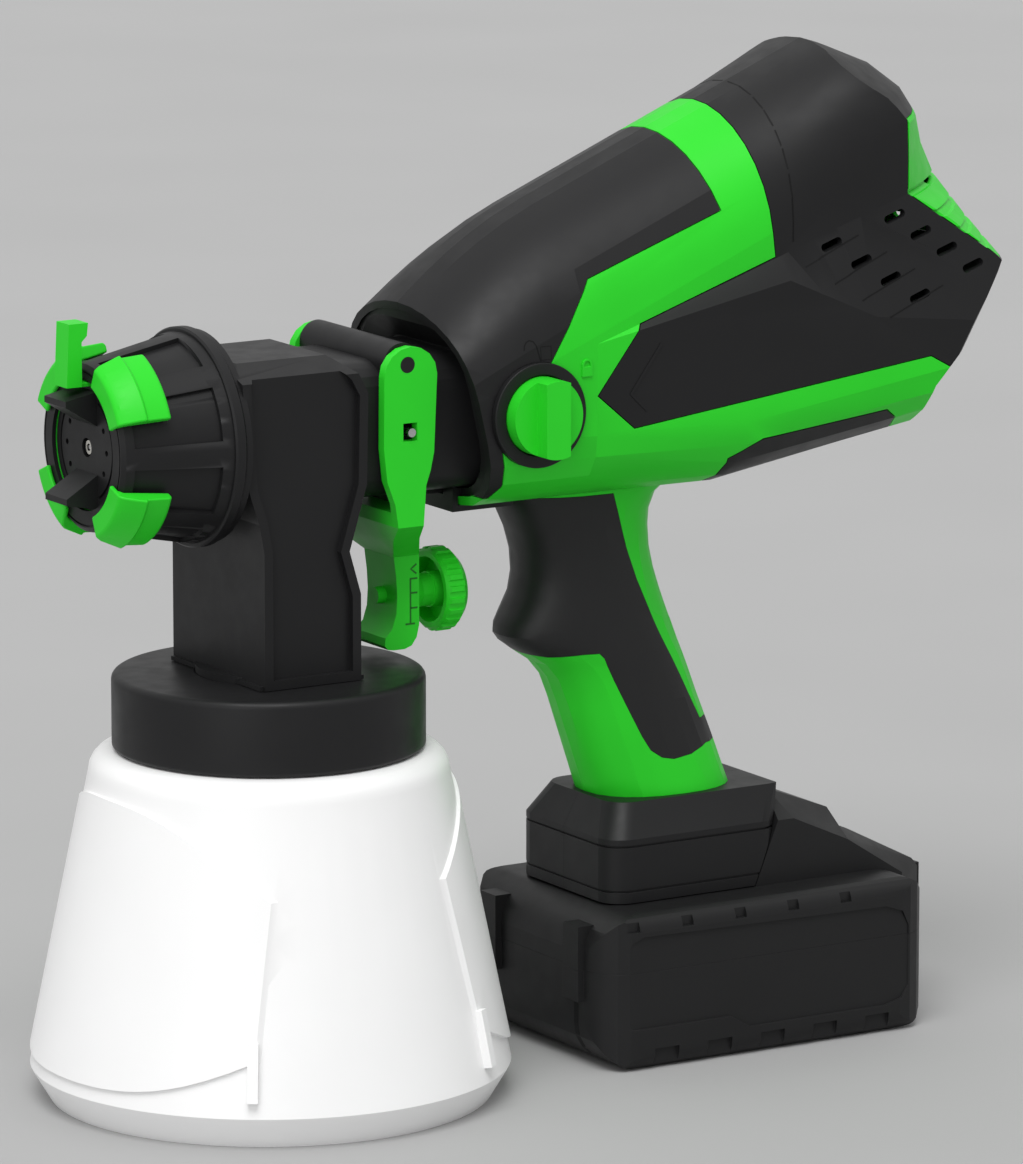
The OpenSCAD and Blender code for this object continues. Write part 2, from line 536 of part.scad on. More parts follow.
// Fluid nozzle, needle and the parts that move it
nozzle_tip_x = cap_face_x + 0.6;
needle_back = 46;
seat_x = cap_face_x + 7;  // where the needle closes the fluid nozzle
carrier_r = 4.8;
spring_r = [2.2, 3.2];
module fluid_nozzle() color(brass) difference() {
    union() {
        on_axis(-31.5) cylinder(r = 5, h = 6);
        on_axis(-35) cylinder(r = 7.5, h = 3.8, $fn = 6);
        on_axis(cap_face_x + 6) cylinder(r = 4, h = -35 - cap_face_x - 5.8);
        on_axis(cap_face_x + 4.2) cylinder(r1 = cap_bore_r - 0.7, r2 = 4, h = 1.9);
        on_axis(nozzle_tip_x) cylinder(r = cap_bore_r - 0.7, h = cap_face_x + 4.3 - nozzle_tip_x);
    }
    on_axis(seat_x) cylinder(r = 2.4, h = 60);
    on_axis(nozzle_tip_x - cut) cylinder(r = 1, h = 20);
}
module needle() color(steel) difference() {
    union() {
        on_axis(seat_x + 1.8) cylinder(r = needle_r, h = needle_back - seat_x - 1.8);
        on_axis(seat_x - 1.3) cylinder(r1 = 0.6, r2 = needle_r, h = 3.11);
        on_axis(nozzle_tip_x + 0.3) cylinder(r = 0.6, h = seat_x - 1 - nozzle_tip_x);
        on_axis(pin_x - 5.5) cylinder(r = carrier_r, h = 11);
    }
    across(pin_x, nozzle_z, -10) cylinder(r = cross_pin_r + fit_gap, h = 20);
    on_axis(pin_x + 2.6) tube(spring_r[1] + 0.3, needle_r, 4);
}
module needle_packing() color(brass) difference() {
    union() {
        on_axis(core_back - 4.8) cylinder(r = 5, h = 6);
        on_axis(core_back + 0.1) cylinder(r = 7, h = 4, $fn = 6);
    }
    on_axis(core_back - 10) cylinder(r = needle_r + fit_gap, h = 20);
}
module needle_spring() color(steel) on_axis(pin_x + 5.2) tube(spring_r[1], spring_r[0], 44 - pin_x - 5.3);
pin_span = arm_y + arm_t + 0.6;
module cross_pin() color(steel) across(pin_x, nozzle_z, -pin_span) cylinder(r = cross_pin_r, h = 2 * pin_span);
module pivot_pin() color(black) across(pivot_x, pivot_z, -arm_y - arm_t)
    cylinder(r = pivot_pin_r, h = 2 * (arm_y + arm_t));

// Trigger: two arms that hang from the pivot pin, joined below the duct and drawn in to a finger piece
crotch_h = -24;          // above the nozzle axis
throat_h = -38;
crotch_t = 3.7;
finger_x = [35, 43.2];
finger_w = 8;
knob_h = 14.2 - trigger_drop;
knob_x = [50.4, 58];
screw_r = 2.4;
arm_steps = 8;
function arm_outline() = above_axis(concat([[26, crotch_h - 2], [25, -19.5], [22.5, -13], [21.5, -4], [21.7, 15]],
    [for (k = [0:arm_steps]) let (a = 180 - 180 * k / arm_steps)
        [pivot_x + 1 + 8.3 * cos(a), pivot_rise - 3 + 7.9 * sin(a)]],
    [[37.3, -6], [36.2, -11], [34.8, -15], [34, crotch_h - 2]]));
function finger_outline() = above_axis([[finger_x[0], throat_h + 1], [35.9, -44], [36.2, -49], [35.9, -54],
    [34.6, -58], [32.4, 3.6 - trigger_drop], [32.2, 1.4 - trigger_drop], [33.2, 0.3 - trigger_drop],
    [35, -trigger_drop], [38.6, -trigger_drop], [40.8, 0.8 - trigger_drop], [42.4, 3 - trigger_drop],
    [finger_x[1], 6.5 - trigger_drop], [finger_x[1], throat_h + 1]]);
module trigger() color(green) difference() {
    union() {
        xz(arm_outline(), -arm_y - arm_t, -arm_y);
        xz(arm_outline(), arm_y, arm_y + arm_t);
        hull() {
            translate([26, -arm_y - arm_t, nozzle_z + crotch_h - 2.1]) cube([8, 2 * (arm_y + arm_t), crotch_t]);
            translate([28.5, -arm_y + 4, nozzle_z + throat_h + 7]) cube([8.3, 2 * (arm_y - 4), 0.1]);
        }
        hull() {
            translate([28.5, -arm_y + 4, nozzle_z + throat_h + 7]) cube([8.3, 2 * (arm_y - 4), 0.1]);
            translate([finger_x[0], -finger_w, nozzle_z + throat_h])
                cube([finger_x[1] - finger_x[0], 2 * finger_w, 0.1]);
        }
        xz(finger_outline(), -finger_w, finger_w);
    }
    across(pivot_x, pivot_z, -40) cylinder(r = pivot_pin_r + fit_gap, h = 80);
    translate([pin_x - 2.4, -40, nozzle_z - 2.4]) cube([4.4, 80, 5]);
    translate([finger_x[0] - 5, 0, nozzle_z + knob_h]) rotate([0, 90, 0]) cylinder(r = screw_r + fit_gap, h = 20);
}
knob_face = 1.2;         // chamfer at the front and twice that at the rear
function knob_star() = [for (k = [0:knob_flutes - 1], p = [[-0.28, 0.6], [-0.2, 0], [0.2, 0], [0.28, 0.6]])
    let (a = 360 * (k + p[0]) / knob_flutes) (knob_r - p[1]) * [cos(a), sin(a)]];
module flow_knob() color(green) translate([0, 0, nozzle_z + knob_h]) rotate([0, 90, 0]) {
    difference() {
        translate([0, 0, knob_x[0]]) intersection() {
            linear_extrude(knob_x[1] - knob_x[0]) polygon(knob_star());
            rotate_extrude() polygon([[0, 0], [knob_r - knob_face, 0], [knob_r + 0.2, knob_face + 0.2],
                [knob_r + 0.2, knob_x[1] - knob_x[0] - 2 * knob_face - 0.2],
                [knob_r - 2 * knob_face, knob_x[1] - knob_x[0]], [0, knob_x[1] - knob_x[0]]]);
        }
        translate([0, 0, knob_x[0] - cut]) tube(knob_r - 2.7, 5, cut + 4.6);
    }
    translate([0, 0, finger_x[0] - 1.5]) cylinder(r = screw_r, h = knob_x[0] - finger_x[0] + 4);
    translate([0, 0, finger_x[1] + 0.6]) cylinder(r1 = 6, r2 = 4.6, h = 3);
    translate([0, 0, finger_x[1] + 2]) cylinder(r = 4.6, h = knob_x[0] - finger_x[1]);
}

// Fan housing: two green halves with the handle, two nose covers, two rear covers, the grille and the insert
cover_gap = 0.05;        // between shells and what is seated in them
dial_x = 65;
dial_h = 2.9;            // above the nozzle axis
dial_ring_r = dial_r + 3.7;
dial_seat_y = 31;        // how deep the dial ring reaches into the housing
screw_at = [[84, nozzle_z - 7.1, 33.5], [140, nozzle_z - 4.1, 39], [104, handle_top - 10.5, 13],
    [101, handle_top - 50.5, 12.8], [114, handle_top - 76.5, 13.4]];  // x, z, reach of the boss
boss_bore_r = 1.5;
head_r = 3;
head_seat_y = 6;
post_x = [94, 126];
post_y = 14;
post_h = 8;
peg_r = 1;
module mouth_cut() translate([0, 100, 0]) rotate([90, 0, 0]) linear_extrude(200)
    polygon(above_axis([[0, -80], [mouth_x(-80), -80], [mouth_x(80), 80], [0, 80]]));
module body_shell() difference() {
    body_solid(0);
    body_solid(shell_wall);
    mouth_cut();
}
module dial_hole() across(dial_x, nozzle_z + dial_h, -60) cylinder(r = dial_ring_r + cover_gap, h = 40);
module handle_shell() difference() {
    handle_solid(0);
    handle_solid(handle_wall);
    body_solid(shell_wall / 2);
    difference() {
        region(grip_outline(), cover_gap);
        handle_solid(grip_t);
    }
}
module housing(side) difference() {
    union() {
        difference() {
            intersection() {
                union() {
                    body_shell();
                    handle_shell();
                }
                half(side);
            }
            handle_solid(handle_wall);
        }
        for (s = screw_at) hull() {
            across(s[0], s[1], side > 0 ? 0 : -12) cylinder(r = head_r + 1.4, h = 12, $fn = 16);
            across(s[0], s[1], side > 0 ? 0 : -s[2]) cylinder(r = head_r + 0.6, h = s[2], $fn = 16);
        }
        for (x = post_x) hull() {
            translate([x, side * post_y, nozzle_z + floor_h + shell_wall]) cylinder(r = 2.5, h = post_h, $fn = 16);
            translate([x, side * post_y, nozzle_z + floor_h + 1]) cylinder(r = 4, h = 3, $fn = 16);
        }
        for (x = post_x) translate([x, side * post_y, nozzle_z + floor_h + 1])
            cylinder(r = peg_r, h = shell_wall + post_h + 1.5, $fn = 16);
    }
    for (s = screw_at) {
        across(s[0], s[1], -10) cylinder(r = boss_bore_r + fit_gap, h = 12 + head_seat_y, $fn = 16);
        if (side > 0) across(s[0], s[1], head_seat_y) cylinder(r = head_r + 0.2, h = 60, $fn = 16);
    }
    region(above_axis(nose_outline()), seam);
    region(above_axis(rear_outline()), seam);
    region(above_axis(insert_outline()), seam);
    if (side < 0) dial_hole();
}
module housing_left() color(green) housing(-1);
module housing_right() color(green) housing(1);
module nose_cover(side) color(black) difference() {
    intersection() {
        body_shell();
        region(above_axis(nose_outline()));
        half(side);
    }
    if (side < 0) dial_hole();
}
module nose_cover_left() nose_cover(-1);
module nose_cover_right() nose_cover(1);
vent_rows = [[[180.6, 48.4], [203, 33.6]], [[159.6, 42.2], [184.6, 26.6]]];  // first and last slot of each row
vents_in_row = 4;
vent_len = 6.8;
vent_t = 2.3;
module rear_cover(side) color(black) difference() {
    intersection() {
        body_shell();
        region(above_axis(rear_outline()));
        half(side);
    }
    region(above_axis(grille_outline()), seam);
    region(above_axis(insert_outline()), seam);
    for (row = vent_rows, k = [0:vents_in_row - 1]) let (u = k / (vents_in_row - 1),
        x = row[0][0] + (row[1][0] - row[0][0]) * u, z = nozzle_z + row[0][1] + (row[1][1] - row[0][1]) * u)
        hull() for (end = [-1, 1])
            across(x + end * (vent_len - vent_t) / 2, z + end * 0.17 * (vent_len - vent_t), side > 0 ? 20 : -70)
                cylinder(r = vent_t / 2, h = 50, $fn = 12);
}
module rear_cover_left() rear_cover(-1);
module rear_cover_right() rear_cover(1);
groove_h = [54.4, 48.4, 43.4, 38.9];
groove_t = 2;
module rear_grille() color(green) difference() {
    intersection() {
        body_shell();
        region(above_axis(grille_outline()));
    }
    for (h = groove_h) {
        difference() {
            translate([150, -60, nozzle_z + h - groove_t / 2]) cube([100, 120, groove_t]);
            body_solid(1.2);
        }
        for (y = [-14, 0, 14]) hull() for (end = [-1, 1])
            translate([180, y + end * 4.5, nozzle_z + h]) rotate([0, 90, 0]) cylinder(r = groove_t / 2, h = 60, $fn = 8);
    }
}
module underside_insert() color(black) intersection() {
    body_shell();
    region(above_axis(insert_outline()));
}
module grip_sleeve() color(black) difference() {
    intersection() {
        handle_solid(0);
        region(grip_outline());
    }
    handle_solid(grip_t - cover_gap);
}

// Mouth collar, switch and lock dial
collar_depth = 8;
plate_x = [51.5, 71];    // plate under the front edge of the housing
plate_half_w = 12;
slider_half_w = 6;
slider_z = nozzle_z + floor_h + shell_wall + free_gap;
slider_t = 2.2;
slider_x = [35.2, 68];
slider_travel = 8;
switch_x = [64, 84];
module in_mouth() translate([mouth_x(0), 0, nozzle_z]) rotate([0, -mouth_tilt, 0]) children();
module mouth_collar() color(black) difference() {
    union() {
        intersection() {
            body_solid(shell_wall + 0.1);
            in_mouth() translate([1, -60, -60]) cube([collar_depth, 120, 120]);
        }
        translate([plate_x[0], -plate_half_w, nozzle_z + floor_h - 1.8])
            cube([1.7, 2 * plate_half_w, 1.8 + shell_wall]);
        translate([plate_x[0], -plate_half_w, nozzle_z + floor_h - 1.8])
            cube([plate_x[1] - plate_x[0], 2 * plate_half_w, 1.8 - cover_gap]);
        for (side = [-1, 1]) translate([plate_x[0], side > 0 ? slider_half_w + 1 : -plate_half_w, slider_z - 0.4])
            cube([6, plate_half_w - slider_half_w - 1, nozzle_z - duct_h / 2 - slider_z]);
    }
    in_mouth() hull() {
        translate([0, 0, 3]) rotate([90, 0, 90]) linear_extrude(1.01)
            polygon(rounded_rect(2 * mouth_w - 12, mouth_top[1] - floor_h - 9, 16));
        translate([collar_depth - 2, 0, -1.4]) rotate([90, 0, 90]) linear_extrude(0.1)
            polygon(rounded_rect(duct_w + 2, duct_h + 2, duct_round + 1));
    }
    duct_solid(-cover_gap, 20, 100);
    across(dial_x, nozzle_z + dial_h, -60) cylinder(r = dial_ring_r + free_gap, h = 61.5 - dial_seat_y);
    translate([0, -slider_half_w - free_gap, slider_z - free_gap])
        cube([100, 2 * (slider_half_w + free_gap), slider_t + 2 * free_gap]);
}
module switch_slider() color(black) {
    translate([slider_x[0], -slider_half_w, slider_z])
        cube([slider_x[1] - slider_x[0], 2 * slider_half_w, slider_t]);
    translate([slider_x[0], -slider_half_w, nozzle_z + crotch_h + 0.6])
        cube([2.4, 2 * slider_half_w, slider_z + slider_t - nozzle_z - crotch_h - 0.6]);
}
module switch_body() color(black) difference() {
    translate([switch_x[0], -slider_half_w - 4, nozzle_z + floor_h + shell_wall + cover_gap])
        cube([switch_x[1] - switch_x[0], 2 * slider_half_w + 8, 9]);
    translate([switch_x[0] - cut, -slider_half_w - free_gap, nozzle_z + floor_h + shell_wall])
        cube([slider_x[1] + slider_travel + 0.5 - switch_x[0] + cut, 2 * (slider_half_w + free_gap),
            slider_t + 2 * free_gap]);
}
dial_z = nozzle_z + dial_h;
dial_out = [34.2, 40.6, 45.6];  // distances of the dial's rear face, front face and grip from the seam plane
dial_shaft_r = 3;
dial_grip_w = 7.6;
module dial_ring() color(black) {
    across(dial_x, dial_z, -36.4) tube(dial_ring_r, dial_r + free_gap, 36.4 - dial_seat_y);
    across(dial_x, dial_z, -dial_out[0] + free_gap)
        tube(dial_r + free_gap + 0.5, dial_shaft_r + fit_gap, dial_out[0] - free_gap - dial_seat_y);
}
module lock_dial() color(green) {
    across(dial_x, dial_z, -dial_out[1]) cylinder(r = dial_r, h = dial_out[1] - dial_out[0]);
    across(dial_x, dial_z, -dial_out[0] - cut) cylinder(r = dial_shaft_r, h = dial_out[0] + cut - dial_seat_y + 1);
    intersection() {
        translate([dial_x - dial_grip_w / 2, -dial_out[2], dial_z - dial_r])
            cube([dial_grip_w, dial_out[2] - dial_out[1] + cut, 2 * dial_r]);
        across(dial_x, dial_z, -dial_out[2]) cylinder(r = dial_r, h = 10);
    }
}

// Turbine: motor, its mount, impeller and shroud on the tilted axis; positions are X on that axis
module on_barrel(x) translate([barrel_x, 0, nozzle_z]) rotate([0, 90 - barrel_tilt, 0])
    translate([0, 0, (x - barrel_x) / cos(barrel_tilt)]) children();
motor_x = [92, 138];
motor_r = 19;
shaft_r = 2.5;
mount_x = 112;
mount_t = 6;
mount_r = (barrel_r - shell_wall) * cos(barrel_tilt) - free_gap;
wheel_r = 26.8;
wheel_x = 151;
wheel_h = 12;
blades = 9;
blade_t = 1.2;
shroud_x = [146, 168];
inlet_r = 16;
motor_len = (motor_x[1] - motor_x[0]) / cos(barrel_tilt);
module motor() color("dimgray") on_barrel(motor_x[0]) difference() {
    union() {
        cylinder(r = motor_r, h = motor_len);
        translate([0, 0, -3]) cylinder(r = 8, h = 4);
        translate([0, 0, motor_len - 1]) cylinder(r = 8, h = 3);
    }
    translate([0, 0, motor_len - 26]) cylinder(r = shaft_r + fit_gap, h = 40);
    for (a = [0:60:300]) rotate([0, 0, a]) translate([14, 0, motor_len - 2]) cylinder(r = 2.4, h = 10);
}
module motor_mount() color(black) on_barrel(mount_x) difference() {
    tube(mount_r, motor_r + cover_gap, mount_t);
    for (a = [0:45:315]) rotate([0, 0, a + 22.5]) translate([(mount_r + motor_r) / 2, 0, -cut])
        cylinder(r = 3.6, h = mount_t + 2 * cut);
}
module impeller() color("gainsboro") on_barrel(wheel_x) {
    translate([0, 0, -36]) cylinder(r = shaft_r, h = 37);
    cylinder(r1 = 9, r2 = 6, h = wheel_h);
    cylinder(r = wheel_r, h = 1.6);
    for (k = [0:blades - 1]) rotate([0, 0, 360 * k / blades]) intersection() {
        translate([14, 0, 0.8]) tube(18 + blade_t / 2, 18 - blade_t / 2, wheel_h - 1.8);
        tube(wheel_r - 0.5, 5, wheel_h);
        translate([-40, 0, 0]) cube([80, 40, 20]);
    }
}
module fan_shroud() color(black) on_barrel(shroud_x[0]) {
    tube(mount_r, wheel_r + 0.7, (shroud_x[1] - shroud_x[0]) / cos(barrel_tilt));
    translate([0, 0, (shroud_x[1] - shroud_x[0]) / cos(barrel_tilt) - 2]) tube(mount_r, inlet_r, 2);
}
board_x = [89, 131];
board_half_w = 17;
board_z = nozzle_z + floor_h + shell_wall + post_h + cover_gap;
module control_board() color("darkgreen") {
    difference() {
        translate([board_x[0], -board_half_w, board_z]) cube([board_x[1] - board_x[0], 2 * board_half_w, 1.6]);
        for (x = post_x, side = [-1, 1]) translate([x, side * post_y, board_z - cut]) cylinder(r = peg_r + 0.1, h = 4);
    }
    for (y = [-6, 6]) translate([117, y, board_z + 1.5]) cylinder(r = 4, h = 8);
    translate([100, -8, board_z + 1.5]) cube([9, 12, 2.2]);
    translate([92, -12, board_z + 1.5]) cube([4.5, 20, 5]);
}
screw_len = 15;
module housing_screws() color(steel) for (s = screw_at) {
    across(s[0], s[1], head_seat_y - screw_len) cylinder(r = boss_bore_r, h = screw_len + 0.2);
    difference() {
        across(s[0], s[1], head_seat_y + cover_gap) cylinder(r = head_r - 0.1, h = 2.2);
        for (turn = [0, 90]) across(s[0], s[1], head_seat_y + 1.4) rotate([0, 0, turn])
            translate([-2, -0.4, 0]) cube([4, 0.8, 2]);
    }
}

// Foot of the handle, with the slot that the battery slides into from behind
foot_x = [95, 152];
foot_z = pack_h + free_gap;
foot_top_x = [99.8, 158];
foot_top_half_w = 19.4;
foot_corner = 7;
foot_back_x = 142.6;     // rear face at the top of the battery
foot_back_lean = 0.412;  // how far back it leans as it rises
function foot_back(h) = foot_back_x + h * foot_back_lean;
rail_x = [104, 140];
rail_half_w = [17, 20];  // below and at the top of the rail
rail_z = [pack_h, pack_h + 4.5, pack_h + 8.8];
module foot_block(w, x, z, h) translate([(x[0] + x[1]) / 2, 0, z]) linear_extrude(h)
    polygon(rounded_rect(x[1] - x[0], 2 * w, foot_corner));
module foot(side) color(black) difference() {
    intersection() {
        difference() {
            union() {
                foot_block(foot_half_w, foot_x, foot_z, foot_h - 0.3);
                hull() {
                    foot_block(foot_half_w, foot_x, foot_z + foot_h - 1, 0.7);
                    foot_block(foot_top_half_w, foot_top_x, foot_top + 1, 1);
                }
            }
            for (z = [foot_z + 3.1, foot_z + foot_h - 2.6]) difference() {
                foot_block(foot_half_w + 5, [foot_x[0] - 5, foot_x[1] + 5], z, 0.6);
                foot_block(foot_half_w - 0.6, [foot_x[0] + 0.6, foot_x[1] - 0.6], z - 1, 3);
            }
        }
        half(side);
        xz([[0, pack_h], [foot_back(0), pack_h], [foot_back(60), pack_h + 60], [0, pack_h + 60]], -50, 50);
    }
    handle_solid(-cover_gap);
    translate([rail_x[0] - free_gap, -rail_half_w[1] - 0.4, rail_z[1] - free_gap])
        cube([80, 2 * rail_half_w[1] + 0.8, rail_z[2] - rail_z[1] + 2 * free_gap]);
    translate([rail_x[0] - free_gap, -rail_half_w[0] - 0.4, foot_z - cut])
        cube([80, 2 * rail_half_w[0] + 0.8, 6]);
    translate([rail_x[0] + 4, -13, rail_z[1]]) cube([28, 26, foot_top - rail_z[1] - 4]);
    translate([terminal_x - 0.05, -terminal_half_w - 0.05, rail_z[1]])
        cube([20, 2 * terminal_half_w + 0.1, rail_z[2] - rail_z[1] + free_gap]);
}
module foot_left() foot(-1);
module foot_right() foot(1);
terminal_x = 98;
terminal_half_w = 14;
blade_y = 8;
terminal_blade_t = 1;
terminal_blade_end = rail_x[0] + 12;
module terminal_block() color(black) {
    translate([terminal_x, -terminal_half_w, rail_z[1] + cover_gap])
        cube([rail_x[0] - 0.5 - terminal_x, 2 * terminal_half_w, rail_z[2] - rail_z[1] + free_gap - 0.1]);
    for (side = [-1, 1]) translate([terminal_x + 3, side * blade_y - terminal_blade_t / 2, rail_z[1] + 1])
        cube([terminal_blade_end - terminal_x - 3, terminal_blade_t, 2.8]);
}

// Battery pack
pack_wall = 3;
pack_round = [12, 12, 5];   // seen from above, from the side and from the front
cell_round = [6, 6, 3];
pack_mid_x = pack_front_x + pack_len / 2;
cell_end_gap = 2.8;
cell_len = pack_w - 2 * (pack_wall + cell_end_gap);
cell_pitch = 2 * cell_r + free_gap;
hump_half_w = foot_half_w - 0.2;
hump_gap = 0.4;
ridge_half_w = 14;
hump_back = pack_front_x + pack_len + 8;
button_half_w = 15;
button_z = [pack_h - 9.4, pack_h - 2.6];
button_x = [hump_back - 5.5, hump_back + 2];
button_travel = 3;
module pack_block(inset, r) intersection() {
    translate([pack_mid_x, 0, 0]) linear_extrude(pack_h)
        polygon(rounded_rect(pack_len - 2 * inset, pack_w - 2 * inset, r[0]));
    translate([pack_mid_x, pack_w / 2, pack_h / 2]) rotate([90, 0, 0]) linear_extrude(pack_w)
        polygon(rounded_rect(pack_len - 2 * inset, pack_h - 2 * inset, r[1]));
    translate([pack_front_x, 0, pack_h / 2]) rotate([90, 0, 90]) linear_extrude(pack_len)
        polygon(rounded_rect(pack_w - 2 * inset, pack_h - 2 * inset, r[2]));
}
// The raised rear of the pack continues the slope of the foot; heights are above the pack
function above_pack(outline) = [for (p = outline) [p[0], pack_h + p[1]]];
function hump_x(h) = foot_back(h) + hump_gap;
module hump() {
    hull() {
        xz(above_pack([[hump_x(0), 0], [hump_x(18.2), 18.2], [155.8, 18.2], [174.2, 9.9], [174.2, 0]]),
            -hump_half_w, hump_half_w);
        xz(above_pack([[hump_x(18.2), 18.2], [hump_x(25.2), 25.2], [174.2, 17.2], [174.2, 0]]),
            -ridge_half_w, ridge_half_w);
    }
    hull() {
        xz(above_pack([[170, -12], [170, 11.8], [174.2, 9.9], [192.8, -2], [192.8, -12]]), -hump_half_w, hump_half_w);
        xz(above_pack([[176, -12], [176, 12.2], [178.9, 11], [hump_back - 2, -0.5], [hump_back, -3],
            [hump_back, -9.8], [hump_back - 4, -12]]), -button_half_w - 2, button_half_w + 2);
    }
    xz(above_pack([[hump_x(0), -12], [hump_x(0), 0.1], [175, 0.1], [175, -12]]), -hump_half_w, hump_half_w);
}
side_panel_in = 0.8;
notch_in = 1.2;
function side_panel() = [[7, 13.8], [8.8, 12], [41, 12], [47.4, 8.2], [93, 8.2], [98.6, 9.6], [101, 13],
    [101, 30.6], [98.8, 35], [93, 37], [12, 38.4], [8.4, 36.6], [7, 33]];
module pack_shape() difference() {
    union() {
        pack_block(0, pack_round);
        for (side = [-1, 1]) translate([pack_front_x - 2, side * 22 - 4, 19]) cube([16, 8, pack_h - 23]);
        hump();
    }
    pack_block(pack_wall, cell_round);
    for (side = [-1, 1]) {
        xz([for (p = side_panel()) [pack_front_x + p[0], p[1]]], side > 0 ? pack_w / 2 - side_panel_in : -50,
            side > 0 ? 50 : side_panel_in - pack_w / 2);
        for (k = [-2:2]) translate([pack_mid_x + 17.6 * k - 4, side > 0 ? pack_w / 2 - notch_in : -50, -cut])
            cube([8, 50 - pack_w / 2 + notch_in, 7]);
        for (k = [-2:2]) translate([pack_mid_x + 17.6 * k - 12.6, side > 0 ? pack_w / 2 - notch_in : -50, pack_h - 4.6])
            cube([3.6, 50 - pack_w / 2 + notch_in, 7]);
    }
}
module pack_lower_case() color(black) intersection() {
    pack_shape();
    translate([0, -100, -cut]) cube([300, 200, pack_seam_h + cut]);
}
module pack_upper_case() color(black) difference() {
    union() {
        intersection() {
            pack_shape();
            translate([0, -100, pack_seam_h + cover_gap]) cube([300, 200, 100]);
        }
        translate([rail_x[0], -rail_half_w[0], rail_z[0] - 1]) cube([rail_x[1] - rail_x[0], 2 * rail_half_w[0], 6]);
        translate([rail_x[0], -rail_half_w[1], rail_z[1]])
            cube([rail_x[1] - rail_x[0], 2 * rail_half_w[1], rail_z[2] - rail_z[1]]);
        translate([rail_x[1] - 1, -rail_half_w[0], rail_z[0] - 1])
            cube([hump_x(5) - rail_x[1] + 3, 2 * rail_half_w[0], 6]);
    }
    for (side = [-1, 1]) translate([rail_x[0] - cut, side * blade_y - 1, rail_z[1] + 0.4])
        cube([terminal_blade_end - rail_x[0] + 1.5, 2, 10]);
    translate([button_x[0] - 3.2, -button_half_w - free_gap, button_z[0] - free_gap])
        cube([20, 2 * (button_half_w + free_gap), button_z[1] - button_z[0] + 2 * free_gap]);
}
module battery_cells() color("royalblue") for (row = [0, 1], k = [-2:2])
    across(pack_mid_x + k * cell_pitch, pack_wall + free_gap + cell_r + row * cell_pitch, -cell_len / 2)
        cylinder(r = cell_r, h = cell_len);
button_spring_r = 2.4;
module release_button() color(black) difference() {
    translate([button_x[0], -button_half_w, button_z[0]])
        cube([button_x[1] - button_x[0], 2 * button_half_w, button_z[1] - button_z[0]]);
    translate([button_x[0] - cut, 0, (button_z[0] + button_z[1]) / 2]) rotate([0, 90, 0])
        cylinder(r = button_spring_r + free_gap, h = 6.6);
    for (k = [-2:2]) translate([button_x[1] - 0.6, k * 5 - 0.8, button_z[0] + 1])
        cube([2, 1.6, button_z[1] - button_z[0] - 2]);
}
module button_spring() color(steel) translate([button_x[0] - 3.1, 0, (button_z[0] + button_z[1]) / 2])
    rotate([0, 90, 0]) tube(button_spring_r, button_spring_r - 0.8, 5.4);

bottle();
cap_ring();
cap_gasket();
dip_tube();
spray_head();
nozzle_nut();
nut_lugs();
air_cap();
pattern_lever();
fluid_nozzle();
needle();
needle_packing();
needle_spring();
cross_pin();
pivot_pin();
trigger();
flow_knob();
housing_left();
housing_right();
nose_cover_left();
nose_cover_right();
rear_cover_left();
rear_cover_right();
rear_grille();
underside_insert();
mouth_collar();
grip_sleeve();
dial_ring();
lock_dial();
motor();
motor_mount();
impeller();
fan_shroud();
control_board();
switch_body();
switch_slider();
foot_left();
foot_right();
terminal_block();
pack_lower_case();
pack_upper_case();
battery_cells();
release_button();
button_spring();
housing_screws();
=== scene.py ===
"""Cordless turbine paint sprayer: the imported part, dressed with moulded, sprung and turned finishes."""

import json
import math

import bmesh
import bpy
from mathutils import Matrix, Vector
from mathutils.bvhtree import BVHTree


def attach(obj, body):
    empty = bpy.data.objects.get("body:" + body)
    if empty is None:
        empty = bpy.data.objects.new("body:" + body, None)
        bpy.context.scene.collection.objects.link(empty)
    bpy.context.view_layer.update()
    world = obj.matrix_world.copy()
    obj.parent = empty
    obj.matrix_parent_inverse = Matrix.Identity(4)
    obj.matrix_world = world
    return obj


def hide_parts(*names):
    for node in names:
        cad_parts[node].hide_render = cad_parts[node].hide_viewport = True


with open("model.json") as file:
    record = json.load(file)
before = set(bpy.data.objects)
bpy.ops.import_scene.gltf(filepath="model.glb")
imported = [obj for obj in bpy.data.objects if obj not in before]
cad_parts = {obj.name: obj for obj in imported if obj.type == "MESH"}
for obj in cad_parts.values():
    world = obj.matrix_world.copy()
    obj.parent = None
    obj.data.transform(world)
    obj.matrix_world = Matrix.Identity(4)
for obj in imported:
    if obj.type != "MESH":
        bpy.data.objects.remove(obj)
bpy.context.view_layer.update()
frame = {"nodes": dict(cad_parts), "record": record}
NODES = frame["nodes"]
BODY_OF = {n: b for b, members in frame["record"]["behaviour"]["bodies"].items() for n in members}
MM = 0.001  # sizes below are in millimetres where they are multiplied by this
scene = bpy.context.scene


